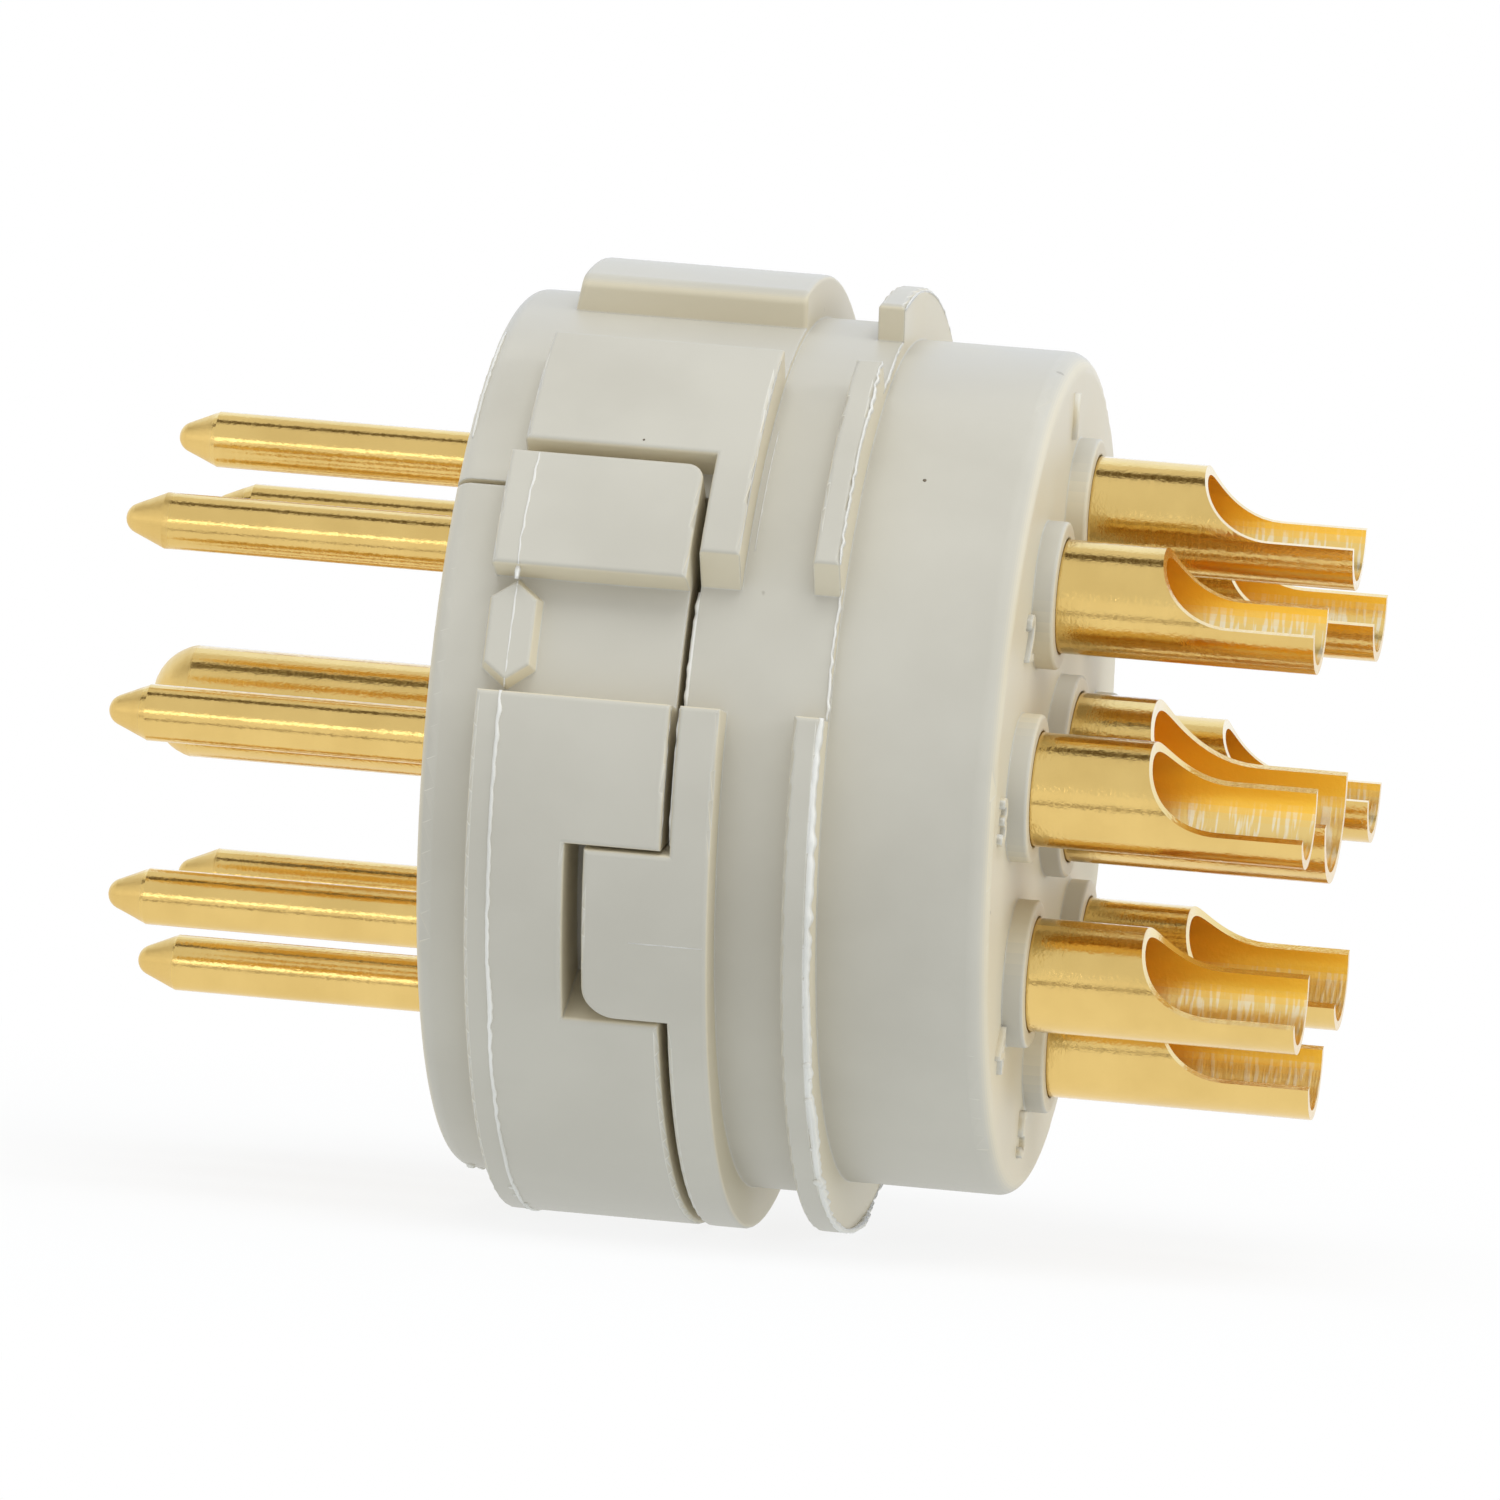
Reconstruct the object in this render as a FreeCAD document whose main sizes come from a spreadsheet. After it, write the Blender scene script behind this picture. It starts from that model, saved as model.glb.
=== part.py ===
"""Solder contact insert of a round signal connector.

Two moulded insulators trap nine turned contacts. The axis of the insert is +X: the pins point to -X and the
solder cups to +X. The first contact is at +Z. The origin is on the axis, in the plane of the mating face.
A keyway runs along the -Y side of the top band. Lengths are in millimetres. Angles of the moulded bands are
counted from +Z, in degrees.
"""
import FreeCAD, Part

import math
import os

import Sketcher

SIZES = {
    # front insulator, along the axis
    "ring_length": 1.0,
    "front_band_length": 3.41,
    "ring_edge_round": 0.3,
    # both insulators, where they meet
    "seat_step": 0.08,
    "hub_wall": 0.35,
    # rear insulator, along the axis
    "rear_rim_width": 0.71,
    "groove_width": 1.27,
    "flange_width": 0.47,
    "barrel_length": 2.98,
    "barrel_edge_round": 0.35,
    # steps of the radii, from the hub outwards
    "tongue_seat_step": 0.3,
    "tongue_wall": 1.25,
    "band_height": 0.65,
    "groove_drop": 0.1,
    "flange_drop": 0.08,
    "barrel_drop": 0.35,
    "band_edge_round": 0.08,
    # tongue of the rear insulator, with the top band beside the keyway
    "tongue_half_angle": 53.8,
    "tongue_clearance": 0.04,
    "slit_angle": 0.7,
    "top_band_angle": 15.3,
    "top_band_setback": 0.14,
    "top_band_ramp": 0.12,
    "top_band_edge_round": 0.22,
    # L-shaped band on the other side of the keyway
    "side_band_start_angle": 31.2,
    "side_band_width_angle": 19.0,
    "side_band_setback": 0.2,
    "arm_end_angle": 63.6,
    "arm_ramp_angle": 8.0,
    "ramp_angle": 3.0,
    # side tabs of the front insulator
    "tab_gap_angle": 1.7,
    "tab_end_angle": 67.2,
    "tab_corner_round": 0.3,
    # bands round the underside
    "band_start_angle": 82.4,
    "hexagon_width": 1.12,
    "hexagon_point": 0.42,
    "hexagon_setback": 0.42,
    "hexagon_height": 0.3,
    "hexagon_draft_angle": 14.0,
    "hexagon_edge_round": 0.06,
    # fingers of the rear insulator in their notches
    "notch_start_angle": 99.7,
    "notch_width_angle": 22.6,
    "notch_length": 1.68,
    "notch_floor_wall": 0.4,
    "finger_clearance_angle": 0.45,
    "finger_front_gap": 0.34,
    "finger_corner_round": 0.6,
    # contact positions
    "contact_count": 8,
    "pitch_radius": 4.7,
    "pin_clearance": 0.03,
    "boss_wall": 0.3,
    "boss_height": 0.38,
    "boss_edge_round": 0.06,
    "collar_clearance": 0.05,
    "drill_point_share": 0.6,
    # small contacts
    "pin_radius": 0.5,
    "shank_step": 0.1,
    "pin_standout": 6.2,
    "pin_cone_angle": 23.8,
    "pin_nose_radius": 0.28,
    "cup_radius": 1.0,
    "cup_wall": 0.17,
    "cup_standout": 5.1,
    "cup_depth": 4.4,
    "cup_opening": 2.8,
    "cup_trough_drop": 0.09,
    "cup_scoop_radius": 1.3,
    "collar_lip": 0.25,
    "collar_length": 1.15,
    "float_forwards": 0.2,
    "float_backwards": 0.13,
    # centre contact
    "centre_pin_radius": 1.0,
    "centre_shank_step": 0.4,
    "centre_pin_standout": 6.25,
    "centre_pin_taper": 0.68,
    "centre_nose_radius": 0.42,
    "centre_tip_round": 0.95,
    "centre_cup_radius": 1.5,
    "centre_cup_wall": 0.2,
    "centre_cup_standout": 5.05,
    "centre_cup_depth": 4.2,
    "centre_cup_opening": 3.3,
    "centre_cup_trough_drop": 0.02,
    "centre_cup_scoop_radius": 1.7,
    "centre_collar_lip": 0.35,
    # how far each cup's opening is turned from +Z towards -Y
    "turn_angle_one": 9.7,
    "turn_angle_two": 13.7,
    "turn_angle_three": 26.7,
    "turn_angle_four": 25.7,
    "turn_angle_five": 19.7,
    "turn_angle_six": 28.7,
    "turn_angle_seven": 7.7,
    "turn_angle_eight": 14.7,
    "turn_angle_centre": 16.7,
    # where each contact has settled within its float, towards the solder side
    "settled_one": 0.0,
    "settled_two": -0.18,
    "settled_three": 0.05,
    "settled_four": 0.0,
    "settled_five": -0.04,
    "settled_six": -0.09,
    "settled_seven": 0.08,
    "settled_eight": 0.08,
    "settled_centre": 0.0,
}


class Size:
    """A length or an angle, with its value and its text in the sheet's terms."""

    def __init__(self, value, text):
        self.value = value
        self.text = text

    def __add__(self, other):
        other = as_size(other)
        return Size(self.value + other.value, f"({self.text} + {other.text})")

    def __sub__(self, other):
        other = as_size(other)
        return Size(self.value - other.value, f"({self.text} - {other.text})")

    def __mul__(self, other):
        other = as_size(other)
        return Size(self.value * other.value, f"({self.text} * {other.text})")

    def __truediv__(self, other):
        other = as_size(other)
        return Size(self.value / other.value, f"({self.text} / {other.text})")

    def __neg__(self):
        return as_size(0) - self


def as_size(number):
    """A plain number as a Size, and a Size as it is."""
    if isinstance(number, Size):
        return number
    return Size(float(number), repr(float(number)))


def sine(angle):
    """Sine of an angle in degrees."""
    return Size(math.sin(math.radians(angle.value)), f"sin({angle.text})")


def cosine(angle):
    """Cosine of an angle in degrees."""
    return Size(math.cos(math.radians(angle.value)), f"cos({angle.text})")


def fill_sheet(document):
    """Write every driving size to the sheet, one row each, with its alias."""
    sheet = document.addObject("Spreadsheet::Sheet", "dims")
    for row, (alias, value) in enumerate(SIZES.items(), start=1):
        sheet.set(f"A{row}", alias)
        sheet.set(f"B{row}", str(value))
        sheet.setAlias(f"B{row}", alias)
    document.recompute()
    return {alias: Size(float(value), f"dims.{alias}") for alias, value in SIZES.items()}


doc = FreeCAD.newDocument("contact_insert")
d = fill_sheet(doc)

FULL_TURN = as_size(360)
ZERO = as_size(0)
CUT_MARGIN = as_size(1)
SAME_PLACE = 0.001
EDGE_SAMPLES = 5

# radii, from the contacts outwards
collar_radius = d["cup_radius"] + d["collar_lip"]
centre_collar_radius = d["centre_cup_radius"] + d["centre_collar_lip"]
hub_radius = d["pitch_radius"] + collar_radius + d["hub_wall"]
tongue_inner_radius = hub_radius + d["tongue_seat_step"]
notch_floor_radius = tongue_inner_radius + d["notch_floor_wall"]
ring_radius = tongue_inner_radius + d["tongue_wall"]
band_radius = ring_radius + d["band_height"]
groove_radius = ring_radius - d["groove_drop"]
flange_radius = band_radius - d["flange_drop"]
barrel_radius = ring_radius - d["barrel_drop"]

# planes across the axis, from the mating face backwards
band_front = d["ring_length"]
front_rim_end = band_front + d["front_band_length"]
seat_plane = front_rim_end + d["seat_step"]
rear_rim_front = seat_plane + d["seat_step"]
rear_rim_end = rear_rim_front + d["rear_rim_width"]
flange_front = rear_rim_end + d["groove_width"]
flange_rear = flange_front + d["flange_width"]
rear_face = flange_rear + d["barrel_length"]
boss_top = rear_face + d["boss_height"]
collar_rear = seat_plane - d["float_backwards"]
collar_front = collar_rear - d["collar_length"]

# angles from +Z
side_band_end = d["side_band_start_angle"] + d["side_band_width_angle"]
tab_start = side_band_end + d["tab_gap_angle"]
band_end = FULL_TURN - d["band_start_angle"]
notch_end = d["notch_start_angle"] + d["notch_width_angle"]
finger_start = d["notch_start_angle"] + d["finger_clearance_angle"]
finger_end = notch_end - d["finger_clearance_angle"]
hexagon_angle = (d["tab_end_angle"] + d["band_start_angle"]) / 2
hexagon_top = ring_radius + d["hexagon_height"]


class Arc:
    """A round stretch of an outline, by its radius, its rough centre and its sense."""

    def __init__(self, radius, centre=(0.0, 0.0), clockwise=True):
        self.radius = radius
        self.centre = centre
        self.clockwise = clockwise


def plane_of(body, role):
    """One of the body's own origin planes or axes."""
    return next(item for item in body.Origin.OriginFeatures if item.Role == role)


def new_sketch(body, name, role):
    """An empty sketch on one of the body's origin planes."""
    sketch = body.newObject("Sketcher::SketchObject", name)
    sketch.AttachmentSupport = (plane_of(body, role), [""])
    sketch.MapMode = "FlatFace"
    return sketch


def bind_constraint(sketch, constraint, size):
    """Add a constraint and tie its value to the sheet."""
    index = sketch.addConstraint(constraint)
    sketch.setExpression(f"Constraints[{index}]", size.text)


def place_point(sketch, geometry, end, x, y):
    """Hold a point at x and y from the sketch's origin."""
    if x.text == ZERO.text:
        sketch.addConstraint(Sketcher.Constraint("PointOnObject", geometry, end, -2))
    else:
        bind_constraint(sketch, Sketcher.Constraint("DistanceX", -1, 1, geometry, end, x.value), x)
    if y.text == ZERO.text:
        sketch.addConstraint(Sketcher.Constraint("PointOnObject", geometry, end, -1))
    else:
        bind_constraint(sketch, Sketcher.Constraint("DistanceY", -1, 1, geometry, end, y.value), y)


def draw_outline(sketch, corners):
    """Draw a closed outline. A corner is (x, y), or (x, y, Arc) where a round stretch follows it."""
    ends = []
    for number, corner in enumerate(corners):
        following = corners[(number + 1) % len(corners)]
        start = FreeCAD.Vector(corner[0].value, corner[1].value, 0)
        stop = FreeCAD.Vector(following[0].value, following[1].value, 0)
        if len(corner) == 2:
            geometry = sketch.addGeometry(Part.LineSegment(start, stop))
            ends.append((geometry, 1, 2))
            continue
        arc = corner[2]
        centre = FreeCAD.Vector(arc.centre[0], arc.centre[1], 0)
        first, last = (stop, start) if arc.clockwise else (start, stop)
        begin = math.atan2(first.y - centre.y, first.x - centre.x)
        finish = math.atan2(last.y - centre.y, last.x - centre.x)
        if finish <= begin:
            finish += 2 * math.pi
        circle = Part.Circle(centre, FreeCAD.Vector(0, 0, 1), arc.radius.value)
        geometry = sketch.addGeometry(Part.ArcOfCircle(circle, begin, finish))
        bind_constraint(sketch, Sketcher.Constraint("Radius", geometry, arc.radius.value), arc.radius)
        ends.append((geometry, 2, 1) if arc.clockwise else (geometry, 1, 2))
    for number, corner in enumerate(corners):
        geometry, start_end, stop_end = ends[number]
        next_geometry, next_start, next_stop = ends[(number + 1) % len(corners)]
        joint = Sketcher.Constraint("Coincident", geometry, stop_end, next_geometry, next_start)
        sketch.addConstraint(joint)
        place_point(sketch, geometry, start_end, corner[0], corner[1])


def turned(body, name, corners, subtract=False, centre_angle=None, span=None):
    """Turn an outline of (x, radius) round the axis, through a full turn or a span about centre_angle."""
    sketch = new_sketch(body, name + "_outline", "XZ_Plane")
    draw_outline(sketch, corners)
    if centre_angle is not None:
        sketch.AttachmentOffset = FreeCAD.Placement(
            FreeCAD.Vector(), FreeCAD.Rotation(FreeCAD.Vector(1, 0, 0), centre_angle.value)
        )
        sketch.setExpression(".AttachmentOffset.Rotation.Angle", centre_angle.text)
    feature = body.newObject("PartDesign::Groove" if subtract else "PartDesign::Revolution", name)
    feature.Profile = sketch
    feature.ReferenceAxis = (sketch, ["H_Axis"])
    feature.Angle = 360 if span is None else span.value
    if span is not None:
        feature.Midplane = True
        feature.setExpression("Angle", span.text)
    body.Tip = feature
    return feature


def extruded(body, name, draw, x_from, x_to, subtract=False):
    """Extrude a cross-section between two planes across the axis. draw fills the sketch."""
    sketch = new_sketch(body, name + "_section", "YZ_Plane")
    draw(sketch)
    sketch.AttachmentOffset = FreeCAD.Placement(FreeCAD.Vector(0, 0, x_from.value), FreeCAD.Rotation())
    sketch.setExpression(".AttachmentOffset.Base.z", x_from.text)
    feature = body.newObject("PartDesign::Pocket" if subtract else "PartDesign::Pad", name)
    feature.Profile = sketch
    feature.Reversed = subtract
    feature.setExpression("Length", (x_to - x_from).text)
    body.Tip = feature
    return feature


def polar(radius, angle):
    """A point of a cross-section, at an angle from +Z towards +Y."""
    return radius * sine(angle), radius * cosine(angle)


def sector(inner, outer, start, end, start_ramp=ZERO, end_ramp=ZERO):
    """A cross-section between two radii and two angles. A ramp spreads the foot of that end."""

    def draw(sketch):
        draw_outline(sketch, [
            polar(inner, start - start_ramp),
            polar(outer, start) + (Arc(outer),),
            polar(outer, end),
            polar(inner, end + end_ramp) + (Arc(inner, clockwise=False),),
        ])

    return draw


def disc(radius, off_axis=ZERO):
    """A round cross-section, on the axis or straight above it."""

    def draw(sketch):
        centre = FreeCAD.Vector(0, off_axis.value, 0)
        geometry = sketch.addGeometry(Part.Circle(centre, FreeCAD.Vector(0, 0, 1), radius.value))
        bind_constraint(sketch, Sketcher.Constraint("Radius", geometry, radius.value), radius)
        place_point(sketch, geometry, 3, ZERO, off_axis)

    return draw


def mirrored(body, name, features):
    """Repeat features on the other side of the XZ plane."""
    feature = body.newObject("PartDesign::Mirrored", name)
    feature.Originals = features
    feature.MirrorPlane = (plane_of(body, "XZ_Plane"), [""])
    body.Tip = feature
    return feature


def round_the_axis(body, name, features):
    """Repeat features at every small contact."""
    feature = body.newObject("PartDesign::PolarPattern", name)
    feature.Originals = features
    feature.Axis = (plane_of(body, "X_Axis"), [""])
    feature.Angle = 360
    feature.Occurrences = int(SIZES["contact_count"])
    feature.setExpression("Occurrences", "dims.contact_count")
    body.Tip = feature
    return feature


def nearest_edges(shape, points):
    """Names of the edges that pass nearest to the given points."""
    names = []
    for point in points:
        vertex = Part.Vertex(FreeCAD.Vector(*point))
        distances = [edge.distToShape(vertex)[0] for edge in shape.Edges]
        names.append(f"Edge{distances.index(min(distances)) + 1}")
    return names


def distance_from_axis(point):
    """How far a point lies from the axis of the insert."""
    return math.hypot(point.y, point.z)


def edges_where(shape, measure, value):
    """Names of the edges whose every point measures the given value."""
    names = []
    for number, edge in enumerate(shape.Edges, start=1):
        points = edge.discretize(EDGE_SAMPLES)
        if all(abs(measure(point) - value) < SAME_PLACE for point in points):
            names.append(f"Edge{number}")
    return names


def edges_at_radius(radius):
    """A choice of the edges that lie wholly on a cylinder round the axis."""
    return lambda shape: edges_where(shape, distance_from_axis, radius.value)


def edges_in_plane(x):
    """A choice of the edges that lie wholly in a plane across the axis."""
    return lambda shape: edges_where(shape, lambda point: point.x, x.value)


def edges_on_flat(angle, height):
    """A choice of the edges on both sides that lie wholly in a plane at a height above the axis."""

    def pick(shape):
        names = []
        for side in (1, -1):
            across, up = polar(as_size(side), angle)
            names += edges_where(shape, lambda point: point.y * across.value + side * point.z * up.value,
                                 height.value)
        return names

    return pick


def edges_through(points):
    """A choice of the edges that pass through the given points."""
    return lambda shape: nearest_edges(shape, points)


def rounded(body, name, pick, radius):
    """Round the edges that pick chooses from the body's shape so far."""
    doc.recompute()
    base = body.Tip
    feature = body.newObject("PartDesign::Fillet", name)
    feature.Base = (base, pick(base.Shape))
    feature.Radius = radius.value
    feature.setExpression("Radius", radius.text)
    body.Tip = feature
    return feature


def side_points(x, radius, angle):
    """The same point on both sides of the XZ plane, on the +Y side first."""
    across, up = polar(radius, angle)
    return [(x.value, side * across.value, up.value) for side in (1, -1)]


def make_front_insulator():
    """Pin side: front ring, raised band round the underside, side tabs, notches and stepped contact holes."""
    body = doc.addObject("PartDesign::Body", "front_insulator")
    tongue_floor = tongue_inner_radius - d["tongue_clearance"]
    recess_half = d["tongue_half_angle"] + d["slit_angle"]
    edge = d["ring_edge_round"]
    edge_centre = (edge.value, (ring_radius - edge).value)
    turned(body, "ring", [
        (ZERO, ZERO),
        (ZERO, ring_radius - edge, Arc(edge, edge_centre)),
        (edge, ring_radius),
        (front_rim_end, ring_radius),
        (front_rim_end, hub_radius),
        (seat_plane, hub_radius),
        (seat_plane, ZERO),
    ])
    turned(body, "tongue_recess", [
        (-CUT_MARGIN, tongue_floor),
        (-CUT_MARGIN, band_radius + CUT_MARGIN),
        (seat_plane + CUT_MARGIN, band_radius + CUT_MARGIN),
        (seat_plane + CUT_MARGIN, tongue_floor),
    ], subtract=True, centre_angle=ZERO, span=recess_half * 2)
    under = notch_floor_radius
    extruded(body, "lower_band", sector(under, band_radius, d["band_start_angle"], band_end),
             band_front, front_rim_end)
    lip_floor = ring_radius + d["tongue_clearance"]
    tab = extruded(body, "tab", sector(under, band_radius, recess_half, d["tab_end_angle"]),
                   band_front, front_rim_end)
    tab_lip = extruded(body, "tab_lip", sector(lip_floor, band_radius, tab_start, d["tab_end_angle"]),
                       band_front, front_rim_end)
    hexagon = make_hexagon(body)
    notch = extruded(
        body, "notch",
        sector(notch_floor_radius, band_radius + CUT_MARGIN, d["notch_start_angle"], notch_end),
        front_rim_end - d["notch_length"], seat_plane + CUT_MARGIN, subtract=True)
    mirrored(body, "other_side", [tab, tab_lip, hexagon, notch])
    middle_radius = (ring_radius + band_radius) / 2
    rounded(body, "tab_corners", edges_through(side_points(front_rim_end, middle_radius, tab_start)),
            d["tab_corner_round"])
    rounded(body, "band_edges", edges_at_radius(band_radius), d["band_edge_round"])
    rounded(body, "hexagon_edges", edges_on_flat(hexagon_angle, hexagon_top), d["hexagon_edge_round"])
    make_contact_holes(body)
    return body


def make_hexagon(body):
    """Long flat-topped hexagon between the tab and the lower band, on the mould's parting line."""
    half_angle = (d["band_start_angle"] - d["tab_end_angle"]) / 2
    reach = hexagon_top * sine(half_angle)
    half_width = d["hexagon_width"] / 2
    centre = band_front + d["hexagon_setback"]
    shoulder = reach - d["hexagon_point"]
    sketch = new_sketch(body, "hexagon_outline", "XY_Plane")
    draw_outline(sketch, [
        (centre, reach),
        (centre + half_width, shoulder),
        (centre + half_width, -shoulder),
        (centre, -reach),
        (centre - half_width, -shoulder),
        (centre - half_width, shoulder),
    ])
    sketch.AttachmentOffset = FreeCAD.Placement(
        FreeCAD.Vector(0, 0, 0), FreeCAD.Rotation(FreeCAD.Vector(1, 0, 0), -hexagon_angle.value)
    )
    sketch.setExpression(".AttachmentOffset.Rotation.Angle", (-hexagon_angle).text)
    foot = ring_radius * cosine(half_angle) - d["hexagon_height"]
    sketch.setExpression(".AttachmentOffset.Base.y", (foot * sine(hexagon_angle)).text)
    sketch.setExpression(".AttachmentOffset.Base.z", (foot * cosine(hexagon_angle)).text)
    feature = body.newObject("PartDesign::Pad", "hexagon")
    feature.Profile = sketch
    feature.setExpression("Length", (hexagon_top - foot).text)
    feature.setExpression("TaperAngle", (-d["hexagon_draft_angle"]).text)
    body.Tip = feature
    return feature


def make_contact_holes(body):
    """Shank holes right through, each with a counterbore in which the contact's collar floats a little."""
    collar_floor = collar_front - d["float_forwards"]
    for name, shank, collar, off_axis in (
        ("small", d["pin_radius"] + d["shank_step"], collar_radius, d["pitch_radius"]),
        ("centre", d["centre_pin_radius"] + d["centre_shank_step"], centre_collar_radius, ZERO),
    ):
        hole = extruded(body, name + "_hole", disc(shank + d["pin_clearance"], off_axis),
                        -CUT_MARGIN, seat_plane + CUT_MARGIN, subtract=True)
        seat = extruded(body, name + "_counterbore", disc(collar + d["collar_clearance"], off_axis),
                        collar_floor, seat_plane + CUT_MARGIN, subtract=True)
        if off_axis is not ZERO:
            round_the_axis(body, name + "_holes", [hole, seat])


def make_rear_insulator():
    """Solder side: barrel, flange, rear rim with fingers, and tongue with the top band and L-shaped band."""
    body = doc.addObject("PartDesign::Body", "rear_insulator")
    edge = d["barrel_edge_round"]
    edge_centre = ((rear_face - edge).value, (barrel_radius - edge).value)
    turned(body, "barrel", [
        (seat_plane, ZERO),
        (seat_plane, hub_radius),
        (rear_rim_front, hub_radius),
        (rear_rim_front, groove_radius),
        (flange_rear, groove_radius),
        (flange_rear, barrel_radius),
        (rear_face - edge, barrel_radius, Arc(edge, edge_centre)),
        (rear_face, barrel_radius - edge),
        (rear_face, ZERO),
    ])
    ring_edge = d["ring_edge_round"]
    ring_edge_centre = (ring_edge.value, (ring_radius - ring_edge).value)
    turned(body, "tongue", [
        (ZERO, tongue_inner_radius),
        (ZERO, ring_radius - ring_edge, Arc(ring_edge, ring_edge_centre)),
        (ring_edge, ring_radius),
        (rear_rim_end, ring_radius),
        (rear_rim_end, tongue_inner_radius),
    ], centre_angle=ZERO, span=d["tongue_half_angle"] * 2)
    under = tongue_inner_radius
    top_front = band_front + d["top_band_setback"]
    top_edge = top_front + d["top_band_ramp"]
    turned(body, "top_band", [
        (top_front, under),
        (top_front, ring_radius),
        (top_edge, band_radius),
        (rear_rim_end, band_radius),
        (rear_rim_end, under),
    ], centre_angle=(d["top_band_angle"] - side_band_end) / 2, span=d["top_band_angle"] + side_band_end)
    arm_start = d["side_band_start_angle"]
    arm_end = d["arm_end_angle"]
    ramp = d["ramp_angle"]
    arm_ramp = d["arm_ramp_angle"]
    extruded(body, "side_band", sector(under, band_radius, -side_band_end, -arm_start),
             band_front + d["side_band_setback"], rear_rim_end)
    arm = extruded(body, "arm", sector(under, band_radius, arm_start, arm_end, ZERO, arm_ramp),
                   rear_rim_front, rear_rim_end)
    side_flange = extruded(body, "side_flange",
                           sector(under, flange_radius, arm_start, arm_end, ramp, arm_ramp),
                           flange_front, flange_rear)
    finger_front = front_rim_end - d["notch_length"] + d["finger_front_gap"]
    finger_floor = notch_floor_radius + d["tongue_clearance"]
    finger = extruded(body, "finger", sector(finger_floor, band_radius, finger_start, finger_end),
                      finger_front, rear_rim_end)
    mirrored(body, "other_side", [arm, side_flange, finger])
    extruded(body, "rear_rim", sector(under, band_radius, d["band_start_angle"], band_end),
             rear_rim_front, rear_rim_end)
    extruded(body, "lower_flange", sector(under, flange_radius, d["band_start_angle"], band_end),
             flange_front, flange_rear)
    turned(body, "top_flange", [
        (flange_front, under),
        (flange_front, flange_radius),
        (flange_rear, flange_radius),
        (flange_rear, under),
    ], centre_angle=(d["top_band_angle"] - arm_start) / 2, span=d["top_band_angle"] + arm_start)
    middle_radius = (ring_radius + band_radius) / 2
    rounded(body, "finger_corners", edges_through(side_points(finger_front, middle_radius, finger_end)),
            d["finger_corner_round"])
    middle_x = (top_edge + rear_rim_end) / 2
    keyway_edge = side_points(middle_x, band_radius, d["top_band_angle"])[1:]
    rounded(body, "keyway_edge", edges_through(keyway_edge), d["top_band_edge_round"])
    rounded(body, "band_edges", edges_at_radius(band_radius), d["band_edge_round"])
    rounded(body, "flange_edges", edges_at_radius(flange_radius), d["band_edge_round"])
    make_bosses(body)
    return body


def make_bosses(body):
    """Raised round bosses on the rear face, and the bores that the solder cups pass through."""
    extruded(body, "centre_boss", disc(d["centre_cup_radius"] + d["boss_wall"]),
             rear_face - CUT_MARGIN, boss_top)
    boss = extruded(body, "small_boss", disc(d["cup_radius"] + d["boss_wall"], d["pitch_radius"]),
                    rear_face - CUT_MARGIN, boss_top)
    round_the_axis(body, "small_bosses", [boss])
    rounded(body, "boss_edges", edges_in_plane(boss_top), d["boss_edge_round"])
    extruded(body, "centre_bore", disc(d["centre_cup_radius"] + d["pin_clearance"]),
             seat_plane - CUT_MARGIN, boss_top + CUT_MARGIN, subtract=True)
    bore = extruded(body, "small_bore", disc(d["cup_radius"] + d["pin_clearance"], d["pitch_radius"]),
                    seat_plane - CUT_MARGIN, boss_top + CUT_MARGIN, subtract=True)
    round_the_axis(body, "small_bores", [bore])


def make_contact(label, tip, cup, collar, off_axis, position_angle, turn, settled):
    """One turned contact: pin, shank, collar, cup body with a drilled bore, and the scooped opening."""
    body = doc.addObject("PartDesign::Body", label)
    cup_end = rear_face + cup["standout"]
    bore_radius = cup["radius"] - cup["wall"]
    bore_end = cup_end - cup["depth"]
    drill_point = bore_radius * d["drill_point_share"]
    turned(body, label + "_turning", tip["corners"] + [
        (ZERO, tip["radius"]),
        (ZERO, tip["shank_radius"]),
        (collar_front, tip["shank_radius"]),
        (collar_front, collar),
        (collar_rear, collar),
        (collar_rear, cup["radius"]),
        (cup_end, cup["radius"]),
        (cup_end, bore_radius),
        (bore_end, bore_radius),
        (bore_end - drill_point, ZERO),
    ])
    sketch = new_sketch(body, label + "_scoop_outline", "XZ_Plane")
    floor = -cup["trough_drop"]
    above = cup["radius"] + CUT_MARGIN
    scoop = cup["scoop_radius"]
    scoop_front = cup_end - cup["opening"]
    scoop_centre = ((scoop_front + scoop).value, (floor + scoop).value)
    draw_outline(sketch, [
        (cup_end + CUT_MARGIN, floor),
        (cup_end + CUT_MARGIN, above),
        (scoop_front, above),
        (scoop_front, floor + scoop, Arc(scoop, scoop_centre, clockwise=False)),
        (scoop_front + scoop, floor),
    ])
    opening = body.newObject("PartDesign::Pocket", label + "_scoop")
    opening.Profile = sketch
    opening.Type = "ThroughAll"
    opening.Midplane = True
    body.Tip = opening
    axis = FreeCAD.Vector(1, 0, 0)
    body.Placement = FreeCAD.Placement(FreeCAD.Vector(), FreeCAD.Rotation(axis, turn.value))
    body.setExpression(".Placement.Rotation.Angle", turn.text)
    body.setExpression(".Placement.Base.x", settled.text)
    body.setExpression(".Placement.Base.y", (-(off_axis * sine(position_angle))).text)
    body.setExpression(".Placement.Base.z", (off_axis * cosine(position_angle)).text)
    return body


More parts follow.
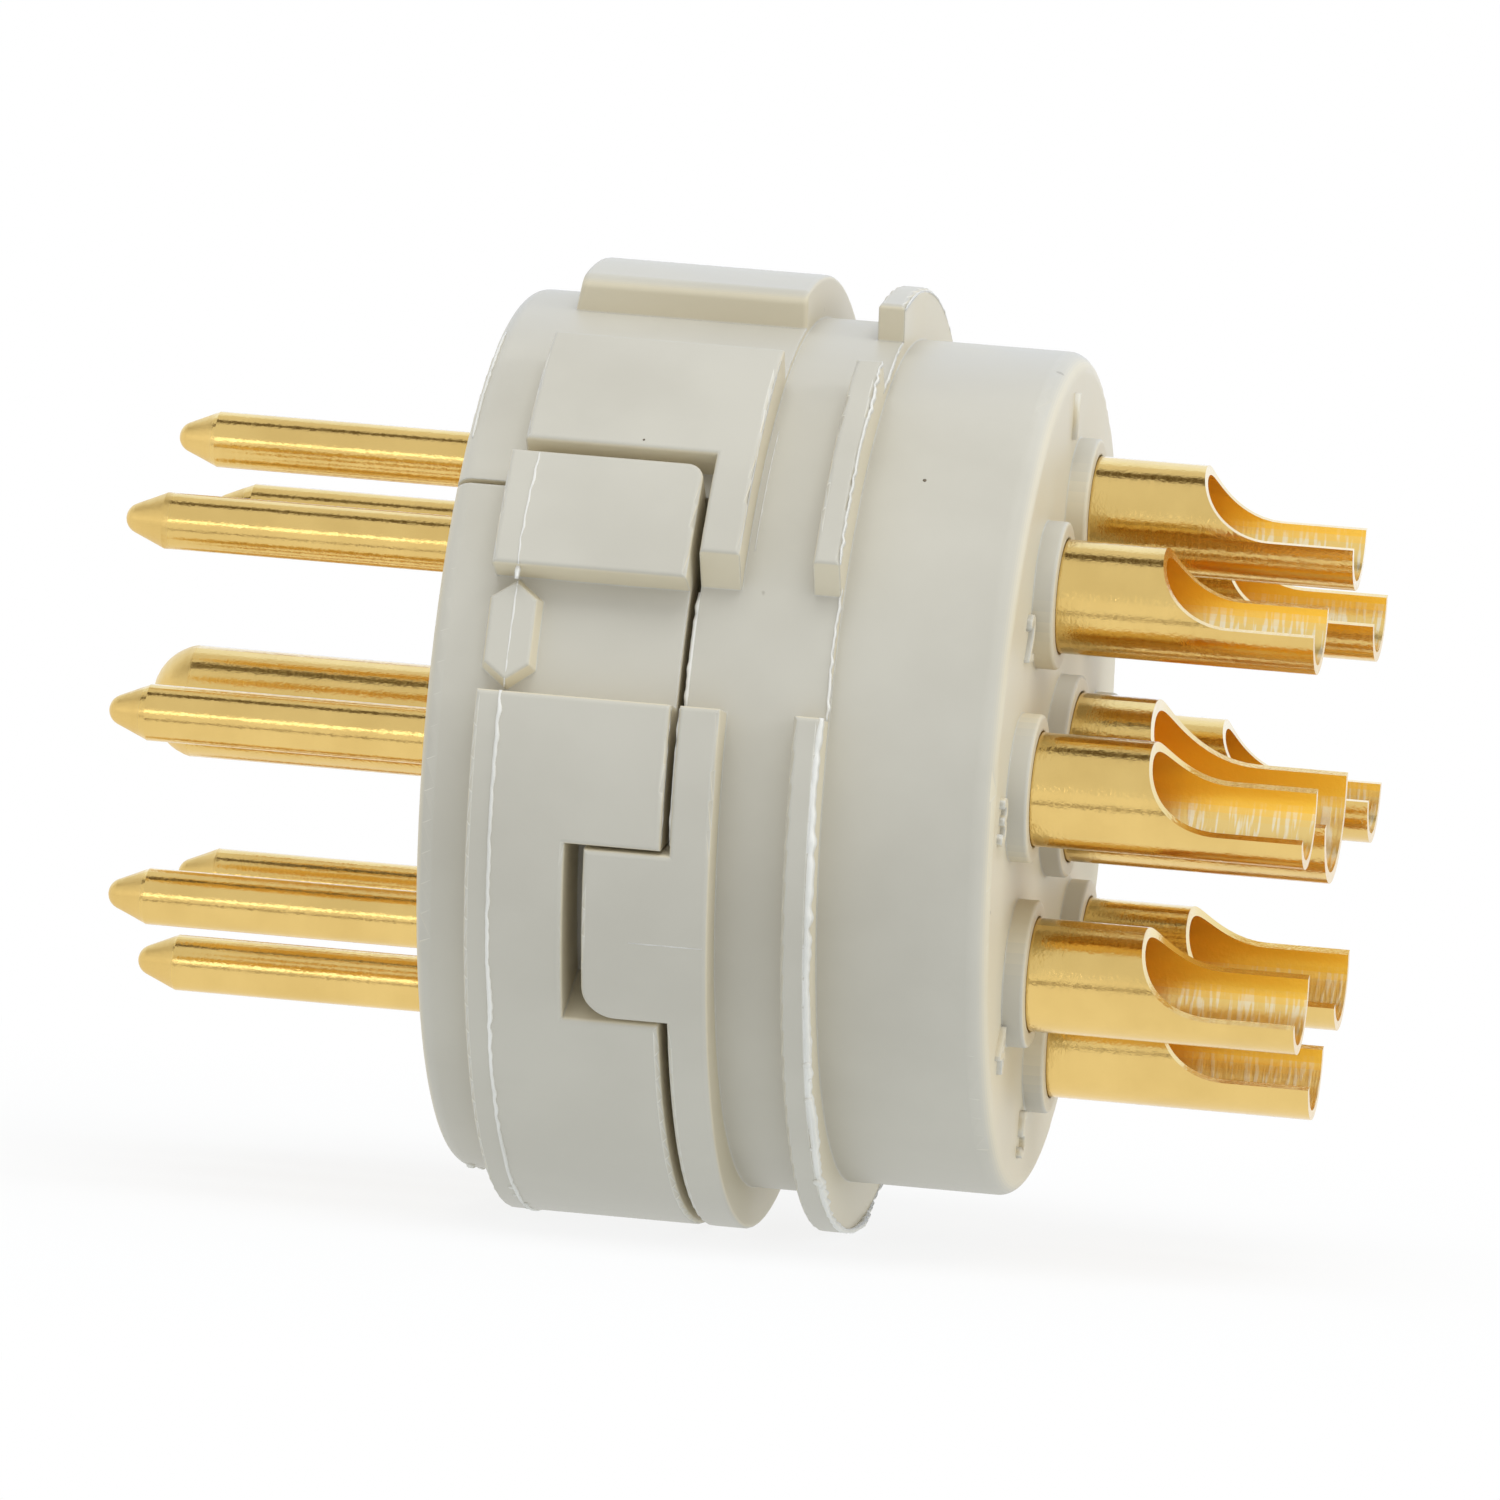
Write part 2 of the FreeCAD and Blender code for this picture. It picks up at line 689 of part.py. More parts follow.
def small_tip():
    """Conical tip of a small pin, with a rounded nose that runs smoothly into the cone."""
    tip = -d["pin_standout"]
    nose = d["pin_nose_radius"]
    cone = d["pin_cone_angle"]
    centre = ((tip + nose).value, 0.0)
    nose_end = tip + nose - nose * sine(cone)
    nose_edge = nose * cosine(cone)
    taper = (d["pin_radius"] - nose_edge) * cosine(cone) / sine(cone)
    corners = [
        (tip, ZERO, Arc(nose, centre)),
        (nose_end, nose_edge),
        (nose_end + taper, d["pin_radius"]),
    ]
    return {"radius": d["pin_radius"], "shank_radius": d["pin_radius"] + d["shank_step"], "corners": corners}


def centre_tip():
    """Bullet-shaped tip of the centre pin, with a flat nose."""
    tip = -d["centre_pin_standout"]
    shoulder = tip + d["centre_pin_taper"]
    curve = d["centre_tip_round"]
    centre = (shoulder.value, d["centre_pin_radius"].value - curve.value)
    corners = [
        (tip, ZERO),
        (tip, d["centre_nose_radius"], Arc(curve, centre)),
        (shoulder, d["centre_pin_radius"]),
    ]
    shank_radius = d["centre_pin_radius"] + d["centre_shank_step"]
    return {"radius": d["centre_pin_radius"], "shank_radius": shank_radius, "corners": corners}


def cup_sizes(prefix):
    """The sizes of one kind of solder cup, by their short names."""
    names = ("radius", "wall", "standout", "depth", "opening", "trough_drop", "scoop_radius")
    return {name: d[prefix + name] for name in names}


def make_contacts():
    """Eight small contacts, counted from +Z towards -Y, and the centre contact."""
    bodies = []
    names = ("one", "two", "three", "four", "five", "six", "seven", "eight")
    step = FULL_TURN / d["contact_count"]
    for number in range(int(SIZES["contact_count"])):
        name = names[number % len(names)]
        bodies.append(make_contact(
            f"contact_{number + 1}", small_tip(), cup_sizes("cup_"), collar_radius,
            d["pitch_radius"], step * number, d["turn_angle_" + name], d["settled_" + name]))
    bodies.append(make_contact(
        "centre_contact", centre_tip(), cup_sizes("centre_cup_"), centre_collar_radius,
        ZERO, ZERO, d["turn_angle_centre"], d["settled_centre"]))
    return bodies


def check_document():
    """Stop if any object failed to recompute."""
    for item in doc.Objects:
        if "Invalid" in item.State or "Error" in item.State:
            raise RuntimeError(f"{item.Name} failed to recompute")


def write_parts(bodies):
    """Check each piece and write it to its own file."""
    os.makedirs("parts", exist_ok=True)
    for body in bodies:
        shape = body.Shape
        if shape.isNull() or not shape.isValid() or len(shape.Solids) != 1:
            raise RuntimeError(f"{body.Label} is not one valid solid")
        print(f"{body.Label}: {shape.Volume:.3f} mm3")
        shape.exportStep(f"parts/{body.Label}.step")


pieces = [make_front_insulator(), make_rear_insulator()] + make_contacts()
doc.recompute()
check_document()
write_parts(pieces)
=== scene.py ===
"""Looks of the solder contact insert: plastic, gold, moulding flash, contact numbers, light and camera.

Places on the part are given in millimetres from the mating face along +X, as a radius from the axis, and as
an angle in degrees from the top towards the camera's side.
"""

import math
import random

import bmesh
import bpy
from mathutils import Matrix, Vector, noise


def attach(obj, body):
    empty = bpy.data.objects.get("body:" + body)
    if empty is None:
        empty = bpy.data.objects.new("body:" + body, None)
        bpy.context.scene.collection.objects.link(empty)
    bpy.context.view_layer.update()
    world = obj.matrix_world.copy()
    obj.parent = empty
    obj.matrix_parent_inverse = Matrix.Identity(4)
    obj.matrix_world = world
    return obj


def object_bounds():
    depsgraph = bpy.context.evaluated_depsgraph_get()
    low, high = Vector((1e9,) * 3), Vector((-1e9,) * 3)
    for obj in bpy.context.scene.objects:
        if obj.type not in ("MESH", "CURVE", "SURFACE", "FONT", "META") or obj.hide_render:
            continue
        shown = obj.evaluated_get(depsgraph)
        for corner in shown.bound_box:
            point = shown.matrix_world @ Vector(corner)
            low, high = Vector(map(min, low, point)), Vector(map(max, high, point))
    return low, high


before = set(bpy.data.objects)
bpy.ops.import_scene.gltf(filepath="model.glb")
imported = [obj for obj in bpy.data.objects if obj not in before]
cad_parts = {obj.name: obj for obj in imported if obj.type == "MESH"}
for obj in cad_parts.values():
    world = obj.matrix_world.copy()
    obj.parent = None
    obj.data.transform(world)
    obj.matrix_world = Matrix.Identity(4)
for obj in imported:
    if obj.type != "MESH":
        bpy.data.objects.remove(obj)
cad_low, cad_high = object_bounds()

MM = 0.001
BODY = "root"
FULL_TURN = 360

# radii of the moulded part
RING_RADIUS = 7.85
BAND_RADIUS = 8.5
GROOVE_RADIUS = 7.75
FLANGE_RADIUS = 8.42
BARREL_RADIUS = 7.5
HEXAGON_RADIUS = 8.15
PITCH_RADIUS = 4.7
CONTACT_STEP = 45

# places along the axis
PARTING_LINE = 1.43
FRONT_RIM_END = 4.41
REAR_RIM_FRONT = 4.57
REAR_RIM_END = 5.28
FLANGE_REAR = 7.02
REAR_FACE = 10.0
PIN_CONE_START = -5.62
PIN_CONE_END = -5.48
TOOL_MARKS_START = 12.6
TOOL_MARKS_FULL = 13.0

# angles where the bands start and end
TOP_BAND_ANGLE = 15.3
SIDE_BAND_START = 31.2
TAB_START = 51.9
ARM_END = 63.6
ARM_FOOT = 67.0
TAB_END = 67.2
BAND_START = 82.4
NOTCH_EDGE = 99.0
FINGER_SEAM = 111.2

# the side that most cups open to
CUP_OPENING = (0.0, -0.64, 0.77)


def on_part(x, radius, angle):
    """A place on the part, in metres."""
    turn = math.radians(angle)
    return Vector((x, -radius * math.sin(turn), radius * math.cos(turn))) * MM


def outward(angle):
    """The direction away from the axis at an angle."""
    turn = math.radians(angle)
    return Vector((0, -math.sin(turn), math.cos(turn)))


# materials


def new_material(name):
    """An empty node material with its shader."""
    material = bpy.data.materials.new(name)
    material.use_nodes = True
    tree = material.node_tree
    tree.nodes.clear()
    output = tree.nodes.new("ShaderNodeOutputMaterial")
    shader = tree.nodes.new("ShaderNodeBsdfPrincipled")
    tree.links.new(shader.outputs["BSDF"], output.inputs["Surface"])
    return material, tree, shader


def surface_socket(tree):
    """The socket that takes a material's surface."""
    output = next(node for node in tree.nodes if node.bl_idname == "ShaderNodeOutputMaterial")
    return output.inputs["Surface"]


def feed(tree, value, socket):
    """Link a socket to another, or set it to a plain value."""
    if isinstance(value, bpy.types.NodeSocket):
        tree.links.new(value, socket)
    else:
        socket.default_value = value


def part_place(tree):
    """The place on the part, in metres."""
    return tree.nodes.new("ShaderNodeTexCoord").outputs["Object"]


def noise_field(tree, scale, detail=4.0, stretch=(1.0, 1.0, 1.0)):
    """Noise over the part, stretched along its axes."""
    mapping = tree.nodes.new("ShaderNodeMapping")
    mapping.inputs["Scale"].default_value = stretch
    tree.links.new(part_place(tree), mapping.inputs["Vector"])
    texture = tree.nodes.new("ShaderNodeTexNoise")
    texture.inputs["Scale"].default_value = scale
    texture.inputs["Detail"].default_value = detail
    tree.links.new(mapping.outputs["Vector"], texture.inputs["Vector"])
    return texture.outputs["Fac"]


def graded(tree, source, low, high, to_low=0.0, to_high=1.0):
    """Spread a range of a value over another range, smoothly and clamped."""
    node = tree.nodes.new("ShaderNodeMapRange")
    node.interpolation_type = "SMOOTHSTEP"
    node.inputs["From Min"].default_value = low
    node.inputs["From Max"].default_value = high
    node.inputs["To Min"].default_value = to_low
    node.inputs["To Max"].default_value = to_high
    feed(tree, source, node.inputs["Value"])
    return node.outputs["Result"]


def calculate(tree, operation, first, second):
    """One step of arithmetic on two numbers."""
    node = tree.nodes.new("ShaderNodeMath")
    node.operation = operation
    feed(tree, first, node.inputs[0])
    feed(tree, second, node.inputs[1])
    return node.outputs["Value"]


def vector_step(tree, operation, first, second):
    """One step of arithmetic on two vectors. A dot product comes out as a number."""
    node = tree.nodes.new("ShaderNodeVectorMath")
    node.operation = operation
    feed(tree, first, node.inputs[0])
    if second is not None:
        feed(tree, second, node.inputs[1])
    return node.outputs["Value" if operation == "DOT_PRODUCT" else "Vector"]


def mixed(tree, factor, first, second):
    """Mix two colours."""
    node = tree.nodes.new("ShaderNodeMix")
    node.data_type = "RGBA"
    feed(tree, factor, node.inputs[0])
    feed(tree, first, node.inputs[6])
    feed(tree, second, node.inputs[7])
    return node.outputs[2]


def bumped(tree, height, strength, distance, normal=None):
    """A bump from a height, on top of another normal where given."""
    node = tree.nodes.new("ShaderNodeBump")
    node.inputs["Distance"].default_value = distance
    feed(tree, strength, node.inputs["Strength"])
    tree.links.new(height, node.inputs["Height"])
    if normal is not None:
        tree.links.new(normal, node.inputs["Normal"])
    return node.outputs["Normal"]


def wall_mask(tree, normal):
    """How far a surface faces along or round the axis, as the side walls of the bands do."""
    away = vector_step(tree, "NORMALIZE", vector_step(tree, "MULTIPLY", part_place(tree), (0, 1, 1)), None)
    facing = calculate(tree, "ABSOLUTE", vector_step(tree, "DOT_PRODUCT", normal, away), 0.0)
    return graded(tree, facing, 0.35, 0.9, 1.0, 0.0)


def plastic_material(name, low, high, painted_wall_light, edge):
    """Moulded plastic: cloudy pale colour, painted warm light on the side walls, a painted highlight along
    the soft edges, specks and a satin skin.
    """
    speck_tone = (0.30, 0.27, 0.22, 1)
    soft_edge = 0.06
    wall_light_share = 0.6
    edge_highlight_share = 0.7
    material, tree, shader = new_material(name)
    bevel = tree.nodes.new("ShaderNodeBevel")
    bevel.samples = 4
    bevel.inputs["Radius"].default_value = soft_edge * MM
    geometry = tree.nodes.new("ShaderNodeNewGeometry")
    cloud = noise_field(tree, 330.0, detail=6.0)
    colour = mixed(tree, graded(tree, cloud, 0.3, 0.7), low, high)
    # painted warm light: faces that look along or round the axis, the bands' side walls, are mixed towards a
    # lighter, warmer tone
    wall_light_mask = calculate(tree, "MULTIPLY", wall_mask(tree, geometry.outputs["True Normal"]), wall_light_share)
    colour = mixed(tree, wall_light_mask, colour, painted_wall_light)
    # painted highlight: edges, where the bevelled normal leaves the true one, are mixed towards a lighter
    # tone
    straight = vector_step(tree, "DOT_PRODUCT", bevel.outputs["Normal"], geometry.outputs["True Normal"])
    edge_highlight = calculate(tree, "MULTIPLY", graded(tree, straight, 0.78, 0.99, 1.0, 0.0), edge_highlight_share)
    colour = mixed(tree, edge_highlight, colour, edge)
    specks = graded(tree, noise_field(tree, 2600.0, detail=1.0), 0.80, 0.84, 0.0, 0.6)
    colour = mixed(tree, specks, colour, speck_tone)
    tree.links.new(colour, shader.inputs["Base Color"])
    grain = noise_field(tree, 9000.0, detail=3.0)
    waves = noise_field(tree, 700.0, detail=2.0)
    normal = bumped(tree, waves, 0.10, 0.05 * MM, bevel.outputs["Normal"])
    normal = bumped(tree, grain, 0.16, 0.008 * MM, normal)
    tree.links.new(normal, shader.inputs["Normal"])
    tree.links.new(graded(tree, cloud, 0.25, 0.75, 0.42, 0.54), shader.inputs["Roughness"])
    shader.inputs["Specular IOR Level"].default_value = 0.45
    return material


def inward_mask(tree, normal):
    """1 where a contact's surface faces its own axis, as inside the solder cups, and 0 outside."""
    place = tree.nodes.new("ShaderNodeSeparateXYZ")
    tree.links.new(part_place(tree), place.inputs["Vector"])
    across = calculate(tree, "MULTIPLY", place.outputs["Y"], -1.0)
    step = math.radians(CONTACT_STEP)
    angle = calculate(tree, "ARCTAN2", across, place.outputs["Z"])
    nearest = calculate(tree, "ROUND", calculate(tree, "DIVIDE", angle, step), 0.0)
    angle = calculate(tree, "MULTIPLY", nearest, step)
    from_axis = vector_step(tree, "MULTIPLY", part_place(tree), (0, 1, 1))
    radius_squared = vector_step(tree, "DOT_PRODUCT", from_axis, part_place(tree))
    outer = calculate(tree, "GREATER_THAN", radius_squared, (PITCH_RADIUS / 2 * MM) ** 2)
    pitch = calculate(tree, "MULTIPLY", outer, PITCH_RADIUS * MM)
    centre = tree.nodes.new("ShaderNodeCombineXYZ")
    sideways = calculate(tree, "MULTIPLY", calculate(tree, "SINE", angle, 0.0), -1.0)
    upwards = calculate(tree, "COSINE", angle, 0.0)
    tree.links.new(calculate(tree, "MULTIPLY", sideways, pitch), centre.inputs["Y"])
    tree.links.new(calculate(tree, "MULTIPLY", upwards, pitch), centre.inputs["Z"])
    away = vector_step(tree, "SUBTRACT", part_place(tree), centre.outputs["Vector"])
    away = vector_step(tree, "NORMALIZE", vector_step(tree, "MULTIPLY", away, (0, 1, 1)), None)
    return graded(tree, vector_step(tree, "DOT_PRODUCT", normal, away), -0.5, 0.0, 1.0, 0.0)


def gold_material():
    """Gold plating on turned brass: fine rings and grain, duller tips, and tool marks in the cups. The cups'
    orange is a painted reflection, their trough floor a painted lit gold, and the marks' pale flecks painted
    glints.
    """
    plating_low = (0.75, 0.525, 0.180, 1)
    plating_high = (0.81, 0.575, 0.205, 1)
    painted_cup_reflection = (1.0, 0.59, 0.05, 1)
    painted_lit_trough = (0.90, 0.66, 0.25, 1)
    tool_mark_glint_tone = (0.95, 0.87, 0.66, 1)
    material, tree, shader = new_material("gold")
    geometry = tree.nodes.new("ShaderNodeNewGeometry")
    straight = geometry.outputs["True Normal"]
    inside = inward_mask(tree, straight)
    opening = vector_step(tree, "DOT_PRODUCT", straight, CUP_OPENING)
    trough = calculate(tree, "MULTIPLY", graded(tree, opening, 0.58, 0.94), inside)
    chatter = noise_field(tree, 1.0, detail=1.0, stretch=(14000.0, 1500.0, 1500.0))
    cloud = noise_field(tree, 800.0, detail=5.0)
    colour = mixed(tree, graded(tree, cloud, 0.3, 0.7), plating_low, plating_high)
    # painted reflection: surfaces facing a contact's own axis, inside the cups, turn deep orange, as light
    # bounced from gold to gold
    colour = mixed(tree, inside, colour, painted_cup_reflection)
    # painted light: the trough floor that faces the cups' opening is a lighter gold, as where light falls in
    colour = mixed(tree, trough, colour, painted_lit_trough)
    along = tree.nodes.new("ShaderNodeSeparateXYZ")
    tree.links.new(part_place(tree), along.inputs["Vector"])
    tip = graded(tree, along.outputs["X"], PIN_CONE_START * MM, PIN_CONE_END * MM, 1.0, 0.0)
    reached = graded(tree, along.outputs["X"], TOOL_MARKS_START * MM, TOOL_MARKS_FULL * MM)
    flecked = calculate(tree, "MULTIPLY", trough, reached)
    # the tool marks are real and bumped below, and their pale flecks are painted glints
    tool_mark_glints = calculate(tree, "MULTIPLY", flecked, graded(tree, chatter, 0.50, 0.62, 0.0, 0.85))
    colour = mixed(tree, tool_mark_glints, colour, tool_mark_glint_tone)
    tree.links.new(colour, shader.inputs["Base Color"])
    rings = noise_field(tree, 1.0, detail=3.0, stretch=(16000.0, 90.0, 90.0))
    dimples = noise_field(tree, 6500.0, detail=3.0)
    grain = noise_field(tree, 16000.0, detail=2.0)
    smooth = graded(tree, inside, 0.0, 1.0, 0.16, 0.05)
    normal = bumped(tree, rings, smooth, 0.008 * MM)
    normal = bumped(tree, chatter, calculate(tree, "MULTIPLY", flecked, 0.5), 0.02 * MM, normal)
    normal = bumped(tree, dimples, graded(tree, inside, 0.0, 1.0, 0.30, 0.10), 0.010 * MM, normal)
    grain_depth = calculate(tree, "ADD", calculate(tree, "MULTIPLY", tip, 0.3), 0.42)
    normal = bumped(tree, grain, grain_depth, 0.008 * MM, normal)
    tree.links.new(normal, shader.inputs["Normal"])
    rough = graded(tree, rings, 0.3, 0.75, 0.13, 0.21)
    rough = calculate(tree, "ADD", rough, calculate(tree, "MULTIPLY", tip, 0.24))
    rough = calculate(tree, "ADD", rough, calculate(tree, "MULTIPLY", inside, 0.16))
    tree.links.new(rough, shader.inputs["Roughness"])
    # the metal is lowered inside the cups, outside the trough, so the painted orange takes the lamps' light
    dull = calculate(tree, "SUBTRACT", inside, trough)
    tree.links.new(graded(tree, dull, 0.0, 1.0, 1.0, 0.45), shader.inputs["Metallic"])
    return material


def dull_material(name, colour):
    """A dark inclusion in the plastic, slightly uneven in tone."""
    material, tree, shader = new_material(name)
    dark = tuple(channel * 0.5 for channel in colour[:3]) + (1,)
    tone = mixed(tree, graded(tree, noise_field(tree, 20000.0), 0.3, 0.7), dark, colour)
    tree.links.new(tone, shader.inputs["Base Color"])
    shader.inputs["Roughness"].default_value = 0.7
    return material


# in both plastics the wall tone is painted warm light on the side walls, and the edge tone is a painted
# highlight along the edges
PLASTIC = plastic_material(
    "insulator_plastic", low=(0.505, 0.482, 0.418, 1), high=(0.545, 0.522, 0.456, 1),
    painted_wall_light=(0.78, 0.69, 0.49, 1), edge=(0.80, 0.79, 0.74, 1))
FLASH = plastic_material(
    "moulding_flash", low=(0.66, 0.65, 0.60, 1), high=(0.81, 0.80, 0.76, 1),
    painted_wall_light=(0.74, 0.71, 0.63, 1), edge=(0.87, 0.86, 0.83, 1))
GOLD = gold_material()
SPECK = dull_material("dark_speck", (0.20, 0.16, 0.11, 1))


def dress_nodes():
    """Give every carried-over piece its material."""
    for name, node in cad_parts.items():
        node.data.materials.clear()
        node.data.materials.append(PLASTIC if "insulator" in name else GOLD)


# moulding flash, crumbs and specks

# how far apart the places along a ridge of flash are, in millimetres
COARSE_SPACING = 0.07
FINE_SPACING = 0.05
LUMPY_SPACING = 0.12
FEWEST_STEPS = 8

# how far the foot of a ridge is sunk in the surface, in millimetres
RIDGE_FOOT = 0.03

# over how many places a ridge thins out at each end
RIDGE_END = 5


def finished_mesh(name, build):
    """Turn a built shape into a mesh."""
    mesh = bpy.data.meshes.new(name)
    build.to_mesh(mesh)
    build.free()
    return mesh


def add_piece(name, mesh, material):
    """Put a finished mesh on the part."""
    for face in mesh.polygons:
        face.use_smooth = True
    mesh.materials.append(material)
    piece = bpy.data.objects.new(name, mesh)
    bpy.context.scene.collection.objects.link(piece)
    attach(piece, BODY)


def ridge_section(width, height):
    """Cross-section of a ridge of flash, as (sideways, upwards), with its foot sunk in the surface."""
    shoulder = width * 0.3
    shoulder_height = height * 0.6
    return ((-width / 2, -RIDGE_FOOT), (-shoulder, shoulder_height), (0, height),
            (shoulder, shoulder_height), (width / 2, -RIDGE_FOOT))


def lip_section(width, height):
    """Cross-section of a thin lip that stands out sideways from an edge."""
    return ((width * 0.2, -height), (-width, -height * 0.4), (-width, 0), (0, height * 0.4), (width * 0.2, 0))


def add_ridge(build, places, width, height, wander, seed, section=ridge_section):
    """A ragged ridge of flash along places, each (x, radius, angle). It thins out at both ends."""
    points = [on_part(*place) for place in places]
    rows = []
    for number, (point, place) in enumerate(zip(points, places)):
        up = outward(place[2])
        before = points[max(number - 1, 0)]
        after = points[min(number + 1, len(points) - 1)]
        side = up.cross((after - before).normalized())
        side = side if side.x > 0 else -side
        reached = number * 0.31 + seed * 17.0
        fine = noise.noise(Vector((reached, seed, 0.0)))
        coarse = noise.noise(Vector((reached * 0.13, seed, 5.0)))
        ends = min(1.0, number / RIDGE_END, (len(points) - 1 - number) / RIDGE_END)
        size = max(0.15, 1.0 + 0.8 * fine + 0.9 * coarse) * (0.2 + 0.8 * ends)
        shift = wander * (coarse + 0.6 * fine)
        row = [build.verts.new(point + (side * (across + shift) + up * rise) * MM)
               for across, rise in section(width * (0.5 + 0.5 * size), height * size)]
        rows.append(row)
    for first, second in zip(rows, rows[1:]):
        for corners in zip(first, first[1:], second[1:], second):
            build.faces.new(corners)
        build.faces.new((first[-1], first[0], second[0], second[-1]))
    build.faces.new(rows[0])
    build.faces.new(list(reversed(rows[-1])))


def arc_places(x, radius, start, end, spacing=COARSE_SPACING, lean=0.0):
    """Places along an arc round the axis. lean moves the far end along the axis."""
    count = max(FEWEST_STEPS, int(abs(end - start) * math.pi / 180 * radius / spacing))
    return [(x + lean * step / count, radius, start + (end - start) * step / count)
            for step in range(count + 1)]


def flat_places(x, height, middle, start, end, spacing=COARSE_SPACING):
    """Places across a flat at a height above the axis, square to the direction at the middle angle."""
    return [(x, height / math.cos(math.radians(angle - middle)), angle)
            for _, _, angle in arc_places(x, height, start, end, spacing)]


def axial_places(start, end, radius, angle, spacing=COARSE_SPACING):
    """Places along a line parallel to the axis."""
    count = max(FEWEST_STEPS, int(abs(end - start) / spacing))
    return [(start + (end - start) * step / count, radius, angle) for step in range(count + 1)]


def add_flash_piece(name, ridges):
    """One named piece of flash. Each ridge is a tuple of what add_ridge takes after build."""
    build = bmesh.new()
    for ridge in ridges:
        add_ridge(build, *ridge)
    bmesh.ops.recalc_face_normals(build, faces=build.faces)
    add_piece(name, finished_mesh(name, build), FLASH)


def both_sides(places):
    """The same places on the other side of the key's plane."""
    return [(x, radius, -angle) for x, radius, angle in places]


def make_parting_flash():
    """The mould's parting line: round the lower band, over the hexagons and up the side tabs."""
    band = arc_places(PARTING_LINE, BAND_RADIUS, BAND_START, FULL_TURN - BAND_START)
    ridges = [(band, 0.09, 0.035, 0.05, 1)]
    for seed, mirror in ((2, False), (3, True)):
        tab = arc_places(PARTING_LINE + 0.04, BAND_RADIUS, TAB_START + 0.4, TAB_END, lean=-0.01)
        neck = arc_places(PARTING_LINE + 0.02, BAND_RADIUS - 0.1, TAB_END - 0.2, TAB_END + 1.6)
        middle = (TAB_END + BAND_START) / 2
        hexagon = flat_places(
            PARTING_LINE, HEXAGON_RADIUS - 0.012, middle, TAB_END + 1.4, BAND_START - 0.6)
        for places, width, height, wander in (
            (tab, 0.05, 0.016, 0.05),
            (neck, 0.10, 0.012, 0.0),
            (hexagon, 0.045, 0.020, 0.02),
        ):
            places = both_sides(places) if mirror else places
            ridges.append((places, width, height, wander, seed))
    add_flash_piece("parting_line_flash", ridges)


def make_flange_flash():
    """Rough flash along the rear edge of the flange, and thin across the gaps between its stretches."""
    edge = FLANGE_REAR - 0.01
    lower = arc_places(edge, FLANGE_RADIUS - 0.05, BAND_START, FULL_TURN - BAND_START)
    lumps_end = 140
    lumps = arc_places(
        edge - 0.05, FLANGE_RADIUS - 0.05, BAND_START + 3, lumps_end, spacing=LUMPY_SPACING)
    top = arc_places(edge, FLANGE_RADIUS - 0.06, -ARM_END, TOP_BAND_ANGLE)
    keyway = arc_places(edge, GROOVE_RADIUS, TOP_BAND_ANGLE, SIDE_BAND_START, spacing=FINE_SPACING)
    side = arc_places(edge, FLANGE_RADIUS - 0.03, SIDE_BAND_START, ARM_END, spacing=FINE_SPACING)
    # places, width, height, wander and seed of each ridge
    ridges = [
        (lower, 0.15, 0.065, 0.05, 4),
        (lumps, 0.10, 0.05, 0.06, 12),
        (top, 0.035, 0.02, 0.02, 5),
        (keyway, 0.045, 0.03, 0.03, 6),
        (side, 0.055, 0.045, 0.07, 7),
    ]
    for seed, mirror in ((8, False), (9, True)):
        places = arc_places(edge, GROOVE_RADIUS, ARM_END + 1.0, BAND_START, spacing=FINE_SPACING)
        ridges.append((both_sides(places) if mirror else places, 0.06, 0.045, 0.05, seed))
    add_flash_piece("flange_flash", ridges)


def make_joint_flash():
    """Ragged lips that half close the joint, and thin flash on the edges beside it and on the fingers."""
    foot_start = 41
    finger_start = 3.9
    ridges = []
    for seed, mirror in ((10, False), (11, True)):
        lip = arc_places(REAR_RIM_FRONT, GROOVE_RADIUS, ARM_FOOT, BAND_START + 0.5, spacing=FINE_SPACING)
        arm = arc_places(REAR_RIM_END - 0.01, BAND_RADIUS - 0.05, SIDE_BAND_START + 2, ARM_END - 0.5,
                         spacing=FINE_SPACING)
        foot = arc_places(REAR_RIM_END + 0.12, GROOVE_RADIUS, foot_start, ARM_END - 3, spacing=FINE_SPACING)
        finger = axial_places(finger_start, REAR_RIM_END - 0.08, BAND_RADIUS, FINGER_SEAM)
        rim = arc_places(REAR_RIM_FRONT, BAND_RADIUS - 0.12, BAND_START + 0.3, NOTCH_EDGE)
        front = arc_places(FRONT_RIM_END, BAND_RADIUS - 0.12, BAND_START + 0.3, NOTCH_EDGE)
        for places, width, height, wander, section in (
            (lip, 0.055, 0.04, 0.0, lip_section),
            (rim, 0.035, 0.03, 0.0, lip_section),
            (front, 0.02, 0.02, 0.01, ridge_section),
            (arm, 0.018, 0.012, 0.0, ridge_section),
            (foot, 0.03, 0.014, 0.01, ridge_section),
            (finger, 0.035, 0.003, 0.01, ridge_section),
        ):
            places = both_sides(places) if mirror else places
            ridges.append((places, width, height, wander, seed, section))
    add_flash_piece("joint_flash", ridges)


def make_ring_flash():
    """Ragged flash on the rounded front edge, where the keyway and the L-shaped band begin."""
    flash_start = 24
    flash_end = 47
    places = arc_places(0.12, RING_RADIUS - 0.06, flash_start, flash_end, spacing=FINE_SPACING)
    add_flash_piece("ring_flash", [(places, 0.06, 0.045, 0.03, 13)])


